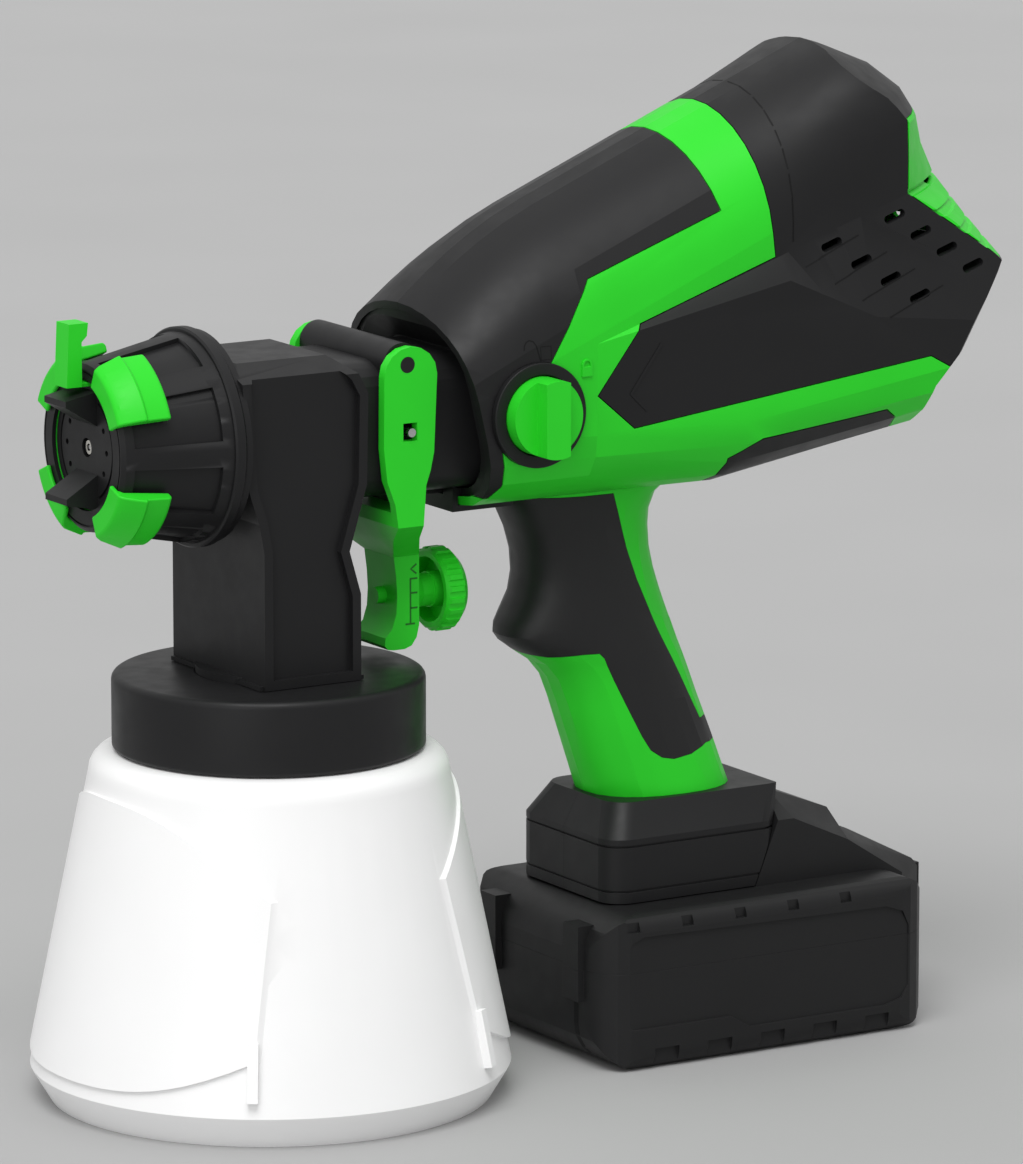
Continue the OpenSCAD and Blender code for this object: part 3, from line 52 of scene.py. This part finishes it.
# Camera: the photograph's viewpoint, a long lens from the front left and a little above
PHOTO_WIDTH = 1023  # pixels
FOCAL_PX = 8000
SENSOR = 36  # mm
YAW, PITCH = math.radians(31.5), math.radians(11.3)  # to the right of +Y, and down
EYE = Vector((-1.0601, -1.8569, 0.5696))
CLIP_END = 50
camera_data = bpy.data.cameras.new("camera")
camera_data.sensor_fit = "HORIZONTAL"
camera_data.sensor_width = SENSOR
camera_data.lens = FOCAL_PX / PHOTO_WIDTH * SENSOR
camera_data.clip_end = CLIP_END
camera = bpy.data.objects.new("camera", camera_data)
camera.location = EYE
look = Vector((math.sin(YAW) * math.cos(PITCH), math.cos(YAW) * math.cos(PITCH), -math.sin(PITCH)))
camera.rotation_euler = look.to_track_quat("-Z", "Y").to_euler()
scene.collection.objects.link(camera)
scene.camera = camera
scene.view_settings.view_transform = "Standard"


# Node helpers
def new_material(name):
    material = bpy.data.materials.new(name)
    material.use_nodes = True
    tree = material.node_tree
    return material, tree, tree.nodes["Principled BSDF"]


def coords(tree, scale):
    """Object coordinates, so that a pattern keeps its size in metres."""
    place = tree.nodes.new("ShaderNodeTexCoord")
    mapping = tree.nodes.new("ShaderNodeMapping")
    mapping.inputs["Scale"].default_value = (scale,) * 3
    tree.links.new(place.outputs["Object"], mapping.inputs["Vector"])
    return mapping.outputs["Vector"]


def noise(tree, scale, detail=3.0, rough=0.5):
    node = tree.nodes.new("ShaderNodeTexNoise")
    node.inputs["Scale"].default_value = 1
    node.inputs["Detail"].default_value = detail
    node.inputs["Roughness"].default_value = rough
    tree.links.new(coords(tree, scale), node.inputs["Vector"])
    return node.outputs["Fac"]


def remap(tree, value, low, high, start=0.3, end=0.7):
    node = tree.nodes.new("ShaderNodeMapRange")
    node.inputs["From Min"].default_value = start
    node.inputs["From Max"].default_value = end
    node.inputs["To Min"].default_value = low
    node.inputs["To Max"].default_value = high
    tree.links.new(value, node.inputs["Value"])
    return node.outputs["Result"]


def mix_colour(tree, factor, first, second):
    node = tree.nodes.new("ShaderNodeMix")
    node.data_type = "RGBA"
    node.inputs["A"].default_value = (*first, 1)
    node.inputs["B"].default_value = (*second, 1)
    tree.links.new(factor, node.inputs["Factor"])
    return node.outputs["Result"]


def bump(tree, height, distance, strength=1.0, normal=None):
    node = tree.nodes.new("ShaderNodeBump")
    node.inputs["Distance"].default_value = distance
    node.inputs["Strength"].default_value = strength
    tree.links.new(height, node.inputs["Height"])
    if normal is not None:
        tree.links.new(normal, node.inputs["Normal"])
    return node.outputs["Normal"]


# Patterns are in repeats per metre, and the height of relief in metres
FLOW_MARKS, SHEEN_PATCHES, SURFACE_WAVE = 28, 160, 45
SPARK_GRAIN, SPARK_DEPTH, WAVE_DEPTH = 2600, 0.00002, 0.00006
TARNISH_PATCHES, TOOL_MARKS, TOOL_DEPTH = 120, 900, 0.00001
TARNISH = 0.86  # share of the metal's colour left in its darkest patches


def moulded(name, colour, rough, grain=SPARK_GRAIN, depth=SPARK_DEPTH, shift=0.06, specular=0.5):
    """Injection-moulded plastic: fine spark texture, faint flow marks in the colour, uneven sheen."""
    material, tree, shader = new_material(name)
    flow = remap(tree, noise(tree, FLOW_MARKS, 2), 0, 1)
    darker = tuple(c * (1 - shift) for c in colour)
    lighter = tuple(min(1, c * (1 + shift)) for c in colour)
    tree.links.new(mix_colour(tree, flow, darker, lighter), shader.inputs["Base Color"])
    sheen = remap(tree, noise(tree, SHEEN_PATCHES, 4), rough - 0.04, rough + 0.05)
    tree.links.new(sheen, shader.inputs["Roughness"])
    wave = bump(tree, noise(tree, SURFACE_WAVE, 1), WAVE_DEPTH, 0.5)
    tree.links.new(bump(tree, noise(tree, grain, 2), depth, 0.6, wave), shader.inputs["Normal"])
    shader.inputs["Specular IOR Level"].default_value = specular
    return material


def metal(name, colour, rough):
    """Turned or drawn metal: fine tool marks and small changes of sheen."""
    material, tree, shader = new_material(name)
    patches = remap(tree, noise(tree, TARNISH_PATCHES, 3), 0, 1)
    darker = tuple(c * TARNISH for c in colour)
    tree.links.new(mix_colour(tree, patches, darker, colour), shader.inputs["Base Color"])
    sheen = remap(tree, noise(tree, TOOL_MARKS, 5, 0.7), rough - 0.06, rough + 0.1)
    tree.links.new(sheen, shader.inputs["Roughness"])
    tree.links.new(bump(tree, noise(tree, TOOL_MARKS, 2), TOOL_DEPTH, 0.5), shader.inputs["Normal"])
    shader.inputs["Metallic"].default_value = 1
    return material


GREEN = (0.024, 0.62, 0.022)
BLACK = (0.0118, 0.0118, 0.0124)
green_plastic = moulded("green_plastic", GREEN, 0.4, shift=0.04, specular=0.2)
black_plastic = moulded("black_plastic", BLACK, 0.42, specular=0.22)
pack_plastic = moulded("pack_plastic", (0.0115, 0.0115, 0.012), 0.46, grain=1900, depth=0.00003,
                       specular=0.25)
soft_grip = moulded("soft_grip", (0.0118, 0.0118, 0.0123), 0.45, grain=1500, depth=0.00003, specular=0.32)
bottle_plastic = moulded("bottle_plastic", (0.9, 0.9, 0.9), 0.4, grain=1700, depth=0.000015, shift=0.012)
seal_rubber = moulded("seal_rubber", (0.05, 0.05, 0.05), 0.6, grain=1200)
wheel_plastic = moulded("wheel_plastic", (0.6, 0.6, 0.57), 0.45, shift=0.03)
board_green = moulded("board", (0.01, 0.12, 0.03), 0.35, grain=700)
cell_wrap = moulded("cell_wrap", (0.02, 0.12, 0.4), 0.3, shift=0.05)
steel = metal("steel", (0.62, 0.62, 0.63), 0.22)
brass = metal("plated_brass", (0.74, 0.72, 0.66), 0.2)
motor_metal = metal("motor_metal", (0.45, 0.45, 0.46), 0.35)
# Near-black for the printed padlock outline, and for painted shade: lines standing for the shade in steps and
# slots
print_and_painted_shade = moulded("print_and_painted_shade", (0.004, 0.004, 0.0042), 0.6, specular=0.2)
engraved_green = moulded("engraved_green", (0.008, 0.16, 0.009), 0.45, specular=0.3)

# Material slot of the record: its material, and the nodes that have it
FINISH = {
    "green_plastic": (green_plastic, "nut_lugs pattern_lever trigger flow_knob housing_left housing_right "
                      "rear_grille lock_dial"),
    "black_plastic": (black_plastic, "cap_ring spray_head nozzle_nut air_cap nose_cover_left "
                      "nose_cover_right rear_cover_left rear_cover_right underside_insert mouth_collar "
                      "dial_ring pivot_pin motor_mount fan_shroud switch_body switch_slider foot_left "
                      "foot_right terminal_block"),
    "pack_plastic": (pack_plastic, "pack_lower_case pack_upper_case release_button"),
    "soft_grip": (soft_grip, "grip_sleeve"),
    "bottle_plastic": (bottle_plastic, "bottle dip_tube"),
    "steel": (steel, "needle needle_spring cross_pin button_spring housing_screws"),
    "brass": (brass, "fluid_nozzle needle_packing"),
    "motor_metal": (motor_metal, "motor"),
    "seal_rubber": (seal_rubber, "cap_gasket"),
    "wheel_plastic": (wheel_plastic, "impeller"),
    "board": (board_green, "control_board"),
    "cell_wrap": (cell_wrap, "battery_cells"),
}
MATERIAL_OF = {n: (slot, material) for slot, (material, names) in FINISH.items() for n in names.split()}


# Outer pieces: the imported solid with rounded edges
SHARP = math.radians(28)  # edges bent by more than this are real edges
FLAT = math.radians(0.6)  # faces bent by less than this are one face
WELD = 4e-6


def refined(node, radius):
    """A copy of a CAD node with rounded edges and smooth curved walls, which stands for the node."""
    slot, material = MATERIAL_OF[node]
    mesh = NODES[node].data.copy()
    mesh.materials.clear()
    mesh.materials.append(material)
    work = bmesh.new()
    work.from_mesh(mesh)
    bmesh.ops.remove_doubles(work, verts=work.verts, dist=WELD)
    bmesh.ops.dissolve_limit(work, angle_limit=FLAT, verts=work.verts, edges=work.edges, delimit={"NORMAL"})
    bmesh.ops.recalc_face_normals(work, faces=work.faces)
    for face in work.faces:
        face.smooth = True
        face.material_index = 0
    work.to_mesh(mesh)
    work.free()
    piece = bpy.data.objects.new(f"{node}_skin", mesh)
    scene.collection.objects.link(piece)
    bevel = piece.modifiers.new("edges", "BEVEL")
    bevel.width = radius * MM
    bevel.segments = 3
    bevel.limit_method = "ANGLE"
    bevel.angle_limit = SHARP
    bevel.use_clamp_overlap = True
    bevel.face_strength_mode = "FSTR_ALL"
    mesh.set_sharp_from_angle(angle=SHARP)
    weighted = piece.modifiers.new("normals", "WEIGHTED_NORMAL")
    weighted.mode = "CORNER_ANGLE"
    weighted.keep_sharp = True
    weighted.use_face_influence = True
    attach(piece, BODY_OF[node])
    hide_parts(node)


# Edge radius in mm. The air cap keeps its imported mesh, which a bevel would tear round its small holes
EDGE_RADIUS = {
    "bottle": 0.6, "cap_ring": 0.4, "spray_head": 0.6, "nozzle_nut": 0.3, "nut_lugs": 0.5,
    "pattern_lever": 0.4, "trigger": 0.5, "flow_knob": 0.25, "housing_left": 0.45, "housing_right": 0.45,
    "nose_cover_left": 0.4, "nose_cover_right": 0.4, "rear_cover_left": 0.4, "rear_cover_right": 0.4,
    "rear_grille": 0.3, "underside_insert": 0.25, "mouth_collar": 0.3, "grip_sleeve": 0.3, "dial_ring": 0.3,
    "lock_dial": 0.5, "foot_left": 0.4, "foot_right": 0.4, "pack_lower_case": 0.5, "pack_upper_case": 0.5,
    "release_button": 0.4,
}
for name, node in NODES.items():
    slot, material = MATERIAL_OF[name]
    if name in EDGE_RADIUS:
        refined(name, EDGE_RADIUS[name])
        continue
    node.data.materials.clear()
    node.data.materials.append(material)
    for face in node.data.polygons:
        face.use_smooth = True
    node.data.set_sharp_from_angle(angle=SHARP)


# Marks, trim and lines of painted shade set on the moulded surfaces
RAY_START = 0.2  # metres from the centre, outside every piece
LINE_SUNK = 0.15  # mm that a line's foot lies below the wall
STRIP = 4  # corners of a line's cross-section


def node_tree(name):
    mesh = NODES[name].data
    return BVHTree.FromPolygons([v.co for v in mesh.vertices], [p.vertices for p in mesh.polygons])


def from_side(side):
    """Looks at the part from its left (-1) or right (1): x and z in mm give the ray."""
    return lambda x, z: (Vector((x * MM, side * RAY_START, z * MM)), Vector((0, -side, 0)))


def round_axis(mid_z):
    """Looks at the part from all round a lengthwise axis: x in mm and the angle from straight up."""
    def ray(x, angle):
        out = Vector((0, math.sin(angle), math.cos(angle)))
        return Vector((x * MM, 0, mid_z * MM)) + RAY_START * out, -out
    return ray


def add_mesh(name, verts, faces, material, body, edge=0.0):
    """A flat-shaded piece that rides on a body, with its edges rounded by edge mm."""
    mesh = bpy.data.meshes.new(name)
    mesh.from_pydata([tuple(v) for v in verts], [], faces)
    work = bmesh.new()
    work.from_mesh(mesh)
    bmesh.ops.recalc_face_normals(work, faces=work.faces)
    work.to_mesh(mesh)
    work.free()
    mesh.materials.append(material)
    piece = bpy.data.objects.new(name, mesh)
    scene.collection.objects.link(piece)
    if edge:
        bevel = piece.modifiers.new("edges", "BEVEL")
        bevel.width = edge * MM
        bevel.segments = 2
        bevel.limit_method = "ANGLE"
    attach(piece, body)
    return piece


def line_on(name, node, points, ray, width, proud, material, slot, step=1.0, closed=False):
    """A thin strip laid on a node's outer wall, width mm wide and proud mm high, through the points given."""
    tree = node_tree(node)
    if closed:
        points = points + points[:1]
    dense = []
    for start, end in zip(points, points[1:]):
        count = max(1, round(math.dist(start, end) / step))
        dense += [tuple(a + (b - a) * k / count for a, b in zip(start, end)) for k in range(count)]
    dense.append(points[-1])
    hits = [tree.ray_cast(*ray(*p))[:2] for p in dense]
    hits = [h for h in hits if h[0] is not None]
    verts, faces = [], []
    for i, (spot, normal) in enumerate(hits):
        ahead = hits[min(i + 1, len(hits) - 1)][0] - hits[max(i - 1, 0)][0]
        side = ahead.cross(normal).normalized() * (width / 2 * MM)
        high, low = normal * (proud * MM), normal * (-LINE_SUNK * MM)
        verts += [spot - side + low, spot - side + high, spot + side + high, spot + side + low]
        if i:
            here, before = STRIP * i, STRIP * (i - 1)
            turns = [(k, (k + 1) % STRIP) for k in range(STRIP)]
            faces += [(before + k, before + n, here + n, here + k) for k, n in turns]
    last = len(verts)
    faces += [(0, 1, 2, 3), (last - 1, last - 2, last - 3, last - 4)]
    return add_mesh(name, verts, faces, material, BODY_OF[node])


def slab(name, outline, opening, y_from, y_to, material, body, slot, edge):
    """A flat plate seen from the side, between an outline and an opening of equally many points."""
    count = len(outline)
    far = 2 * count
    verts = [(x * MM, y * MM, z * MM) for y in (y_from, y_to) for loop in (outline, opening) for x, z in loop]
    faces = []
    for k in range(count):
        n = (k + 1) % count
        outer0, outer1, inner0, inner1 = k, n, count + k, count + n
        faces += [(outer0, outer1, inner1, inner0), (far + outer0, far + inner0, far + inner1, far + outer1),
                  (outer0, far + outer0, far + outer1, outer1), (inner0, inner1, far + inner1, far + inner0)]
    return add_mesh(name, verts, faces, material, body, edge)


def arch(x, z, half, straight, count=10):
    """An upright outline with a round top, from its bottom left corner."""
    turn = [(x - half * math.cos(math.pi * k / count), z + straight + half * math.sin(math.pi * k / count))
            for k in range(count + 1)]
    return [(x - half, z)] + turn + [(x + half, z)]


def from_front(y, z):
    """Looks at the battery from its front: y and z in mm give the ray."""
    return Vector((FRONT_START, y * MM, z * MM)), Vector((1, 0, 0))


# A line in the near-black used for the printed outline and for painted shade
def dark_line(name, node, points, ray, width, proud, **more):
    line_on(name, node, points, ray, width, proud, print_and_painted_shade, "black_plastic", **more)


FRONT_START = 0.07  # metres, between the bottle and the battery
LEFT, RIGHT = from_side(-1), from_side(1)
SIDES = ((LEFT, -1, "left"), (RIGHT, 1, "right"))

# Closed padlock beside the dial
lock_x, lock_z, lock_half = 80.4, 197.2, 1.65
body_top = lock_z + 2.9
lock_y = (-34.6, -35.5)  # inside the wall, and proud of it
slab("padlock_closed", arch(lock_x, lock_z, lock_half, 3.3),
     [(x, max(z, body_top)) for x, z in arch(lock_x, body_top, 1.0, 0.45)],
     *lock_y, green_plastic, "sprayer", "green_plastic", 0.12)

# Open padlock in front of the dial
shackle = [(61.0, 205.9), (61.3, 207.1), (62.0, 208.1), (62.9, 208.5), (64.0, 208.1), (64.7, 207.0),
           (65.2, 205.0), (65.8, 202.8)]
dark_line("padlock_open_shackle", "nose_cover_left", shackle, LEFT, 0.36, 0.04, step=0.4)
open_body = [(66.0, 203.0), (66.0, 206.6), (69.2, 206.6), (69.2, 203.0)]
dark_line("padlock_open_body", "nose_cover_left", open_body, LEFT, 0.2, 0.03, closed=True)

# Chevron in the point of each side panel
chevron = [(103.4, 204.6), (94.2, 191.3), (99.0, 186.5)]
for ray, _, side in SIDES:
    line_on(f"panel_chevron_{side}", f"rear_cover_{side}", chevron, ray, 0.9, 0.22, black_plastic,
            "black_plastic")

# Painted shade: a dark line round the motor cover where its wall steps, standing for the step's shade
step_x, cover_mid_z = 147.6, 232
turns = [math.radians(a) for a in range(2, 96, 3)]
for _, sign, side in SIDES:
    arc = [(step_x, sign * a) for a in turns]
    dark_line(f"cover_step_shade_{side}", f"rear_cover_{side}", arc, round_axis(cover_mid_z), 0.5, 0.03, step=5)

# Painted shade: dark lines along the louvre steps of the front row of vents, for the shade under each step
first_vent, vent_pitch = (159.4, 225.7), (8.03, -5.07)
step_start, step_end = (-9.4, -3.8), (9.0, 3.6)
for ray, _, side in SIDES:
    for k in range(4):
        x, z = (first + pitch * k for first, pitch in zip(first_vent, vent_pitch))
        edge = [(x + step_start[0], z + step_start[1]), (x + step_end[0], z + step_end[1])]
        dark_line(f"vent_step_shade_{side}_{k}", f"rear_cover_{side}", edge, ray, 0.45, 0.05)

# Painted shade: dark strips for the slots below the front ribs of the battery, whose insides lie in shade
rib_y, rib_foot = 22.0, 18.4
for _, sign, side in SIDES:
    y = sign * rib_y
    slot_path = [(y, rib_foot), (y, 7.0), (y * 1.04, 3.0)]
    dark_line(f"front_slot_shade_{side}", "pack_lower_case", slot_path, from_front, 2.2, 0.04)

# Flow scale on the trigger
scale_x, scale_top, scale_foot = 40.4, 140.8, 128.2
marks = [[(scale_x, scale_top), (scale_x, scale_foot)], [(42.3, 144.6), (40.5, 143.3), (42.3, 141.9)]]
marks += [[(scale_x, z), (scale_x + 2.2, z)] for z in (140.6, 136.6, 132.4)]
marks += [[(scale_x - 1.6, scale_foot - 0.2), (scale_x + 1.4, scale_foot - 0.2)]]
for count, points in enumerate(marks):
    line_on(f"flow_scale_{count}", "trigger", points, LEFT, 0.5, 0.06, engraved_green, "green_plastic")


def oval(a, b, count=64, power=0.8):
    """A rounded oblong, a and b mm from its middle to its ends and sides."""
    def rounded(v):
        return math.copysign(abs(v) ** power, v)
    return [(a * rounded(math.cos(t)), b * rounded(math.sin(t))) for t in
            (2 * math.pi * k / count for k in range(count))]


# Raised ring round the foot of the handle: half length, half width and height of each edge of its section
ring_x, ring_z = 124.4, 70.0
section = [(20.5, 15.5, 0), (24.2, 19.2, 0), (24.2, 19.2, 0.9), (23.8, 18.8, 1.3), (20.5, 15.5, 1.3)]
loops = [[((ring_x + x) * MM, y * MM, (ring_z + z) * MM) for x, y in oval(a, b)] for a, b, z in section]
size, levels = len(loops[0]), len(loops)
ring_faces = []
for i in range(levels):
    lower, upper = i * size, (i + 1) % levels * size
    ring_faces += [(lower + k, lower + n, upper + n, upper + k) for k, n in
                   ((k, (k + 1) % size) for k in range(size))]
add_mesh("handle_ring", [v for loop in loops for v in loop], ring_faces, black_plastic, "sprayer",
         0.15)


# Floor, sky and sun
FLOOR_SEEN = ((0.385,) * 3, (0.396,) * 3)  # darkest and lightest, to the camera and in reflections
FLOOR_LIGHT = (0.42, 0.42, 0.42, 1)  # to light that it sends back to the part
FLOOR_HALF = 40  # metres
SKY_LOW, SKY_HIGH = 0.34, 0.98  # strength at the horizon and overhead


def stage_floor():
    material, tree, shader = new_material("floor")
    shade = mix_colour(tree, remap(tree, noise(tree, 6, 2), 0, 1), *FLOOR_SEEN)
    rays = tree.nodes.new("ShaderNodeLightPath")
    seen = tree.nodes.new("ShaderNodeMath")
    seen.operation = "ADD"
    seen.use_clamp = True
    tree.links.new(rays.outputs["Is Camera Ray"], seen.inputs[0])
    tree.links.new(rays.outputs["Is Glossy Ray"], seen.inputs[1])
    colour = tree.nodes.new("ShaderNodeMix")
    colour.data_type = "RGBA"
    colour.inputs["A"].default_value = FLOOR_LIGHT
    tree.links.new(seen.outputs["Value"], colour.inputs["Factor"])
    tree.links.new(shade, colour.inputs["B"])
    tree.links.new(colour.outputs["Result"], shader.inputs["Base Color"])
    shader.inputs["Roughness"].default_value = 0.9
    shader.inputs["Specular IOR Level"].default_value = 0.1
    mesh = bpy.data.meshes.new("floor")
    corners = [(-1, -1), (1, -1), (1, 1), (-1, 1)]
    mesh.from_pydata([(x * FLOOR_HALF, y * FLOOR_HALF, 0) for x, y in corners], [], [(0, 1, 2, 3)])
    mesh.materials.append(material)
    floor = bpy.data.objects.new("floor", mesh)
    scene.collection.objects.link(floor)


stage_floor()
world = bpy.data.worlds.new("studio")
world.use_nodes = True
scene.world = world
tree = world.node_tree
background = tree.nodes["Background"]
direction = tree.nodes.new("ShaderNodeTexCoord")
split = tree.nodes.new("ShaderNodeSeparateXYZ")
tree.links.new(direction.outputs["Generated"], split.inputs["Vector"])
sky = remap(tree, split.outputs["Z"], SKY_LOW, SKY_HIGH, -0.1, 1.0)
tree.links.new(sky, background.inputs["Strength"])
background.inputs["Color"].default_value = (1, 1, 1, 1)


def sun(name, toward, strength, angle):
    """A sun in the direction given, angle degrees wide."""
    lamp = bpy.data.lights.new(name, "SUN")
    lamp.energy = strength
    lamp.angle = math.radians(angle)
    item = bpy.data.objects.new(name, lamp)
    item.rotation_euler = Vector(toward).to_track_quat("Z", "Y").to_euler()
    scene.collection.objects.link(item)


sun("key", (-0.4, -0.5, 1.2), 1.7, 35)
sun("fill", (-1.0, -0.7, 0.25), 0.55, 40)
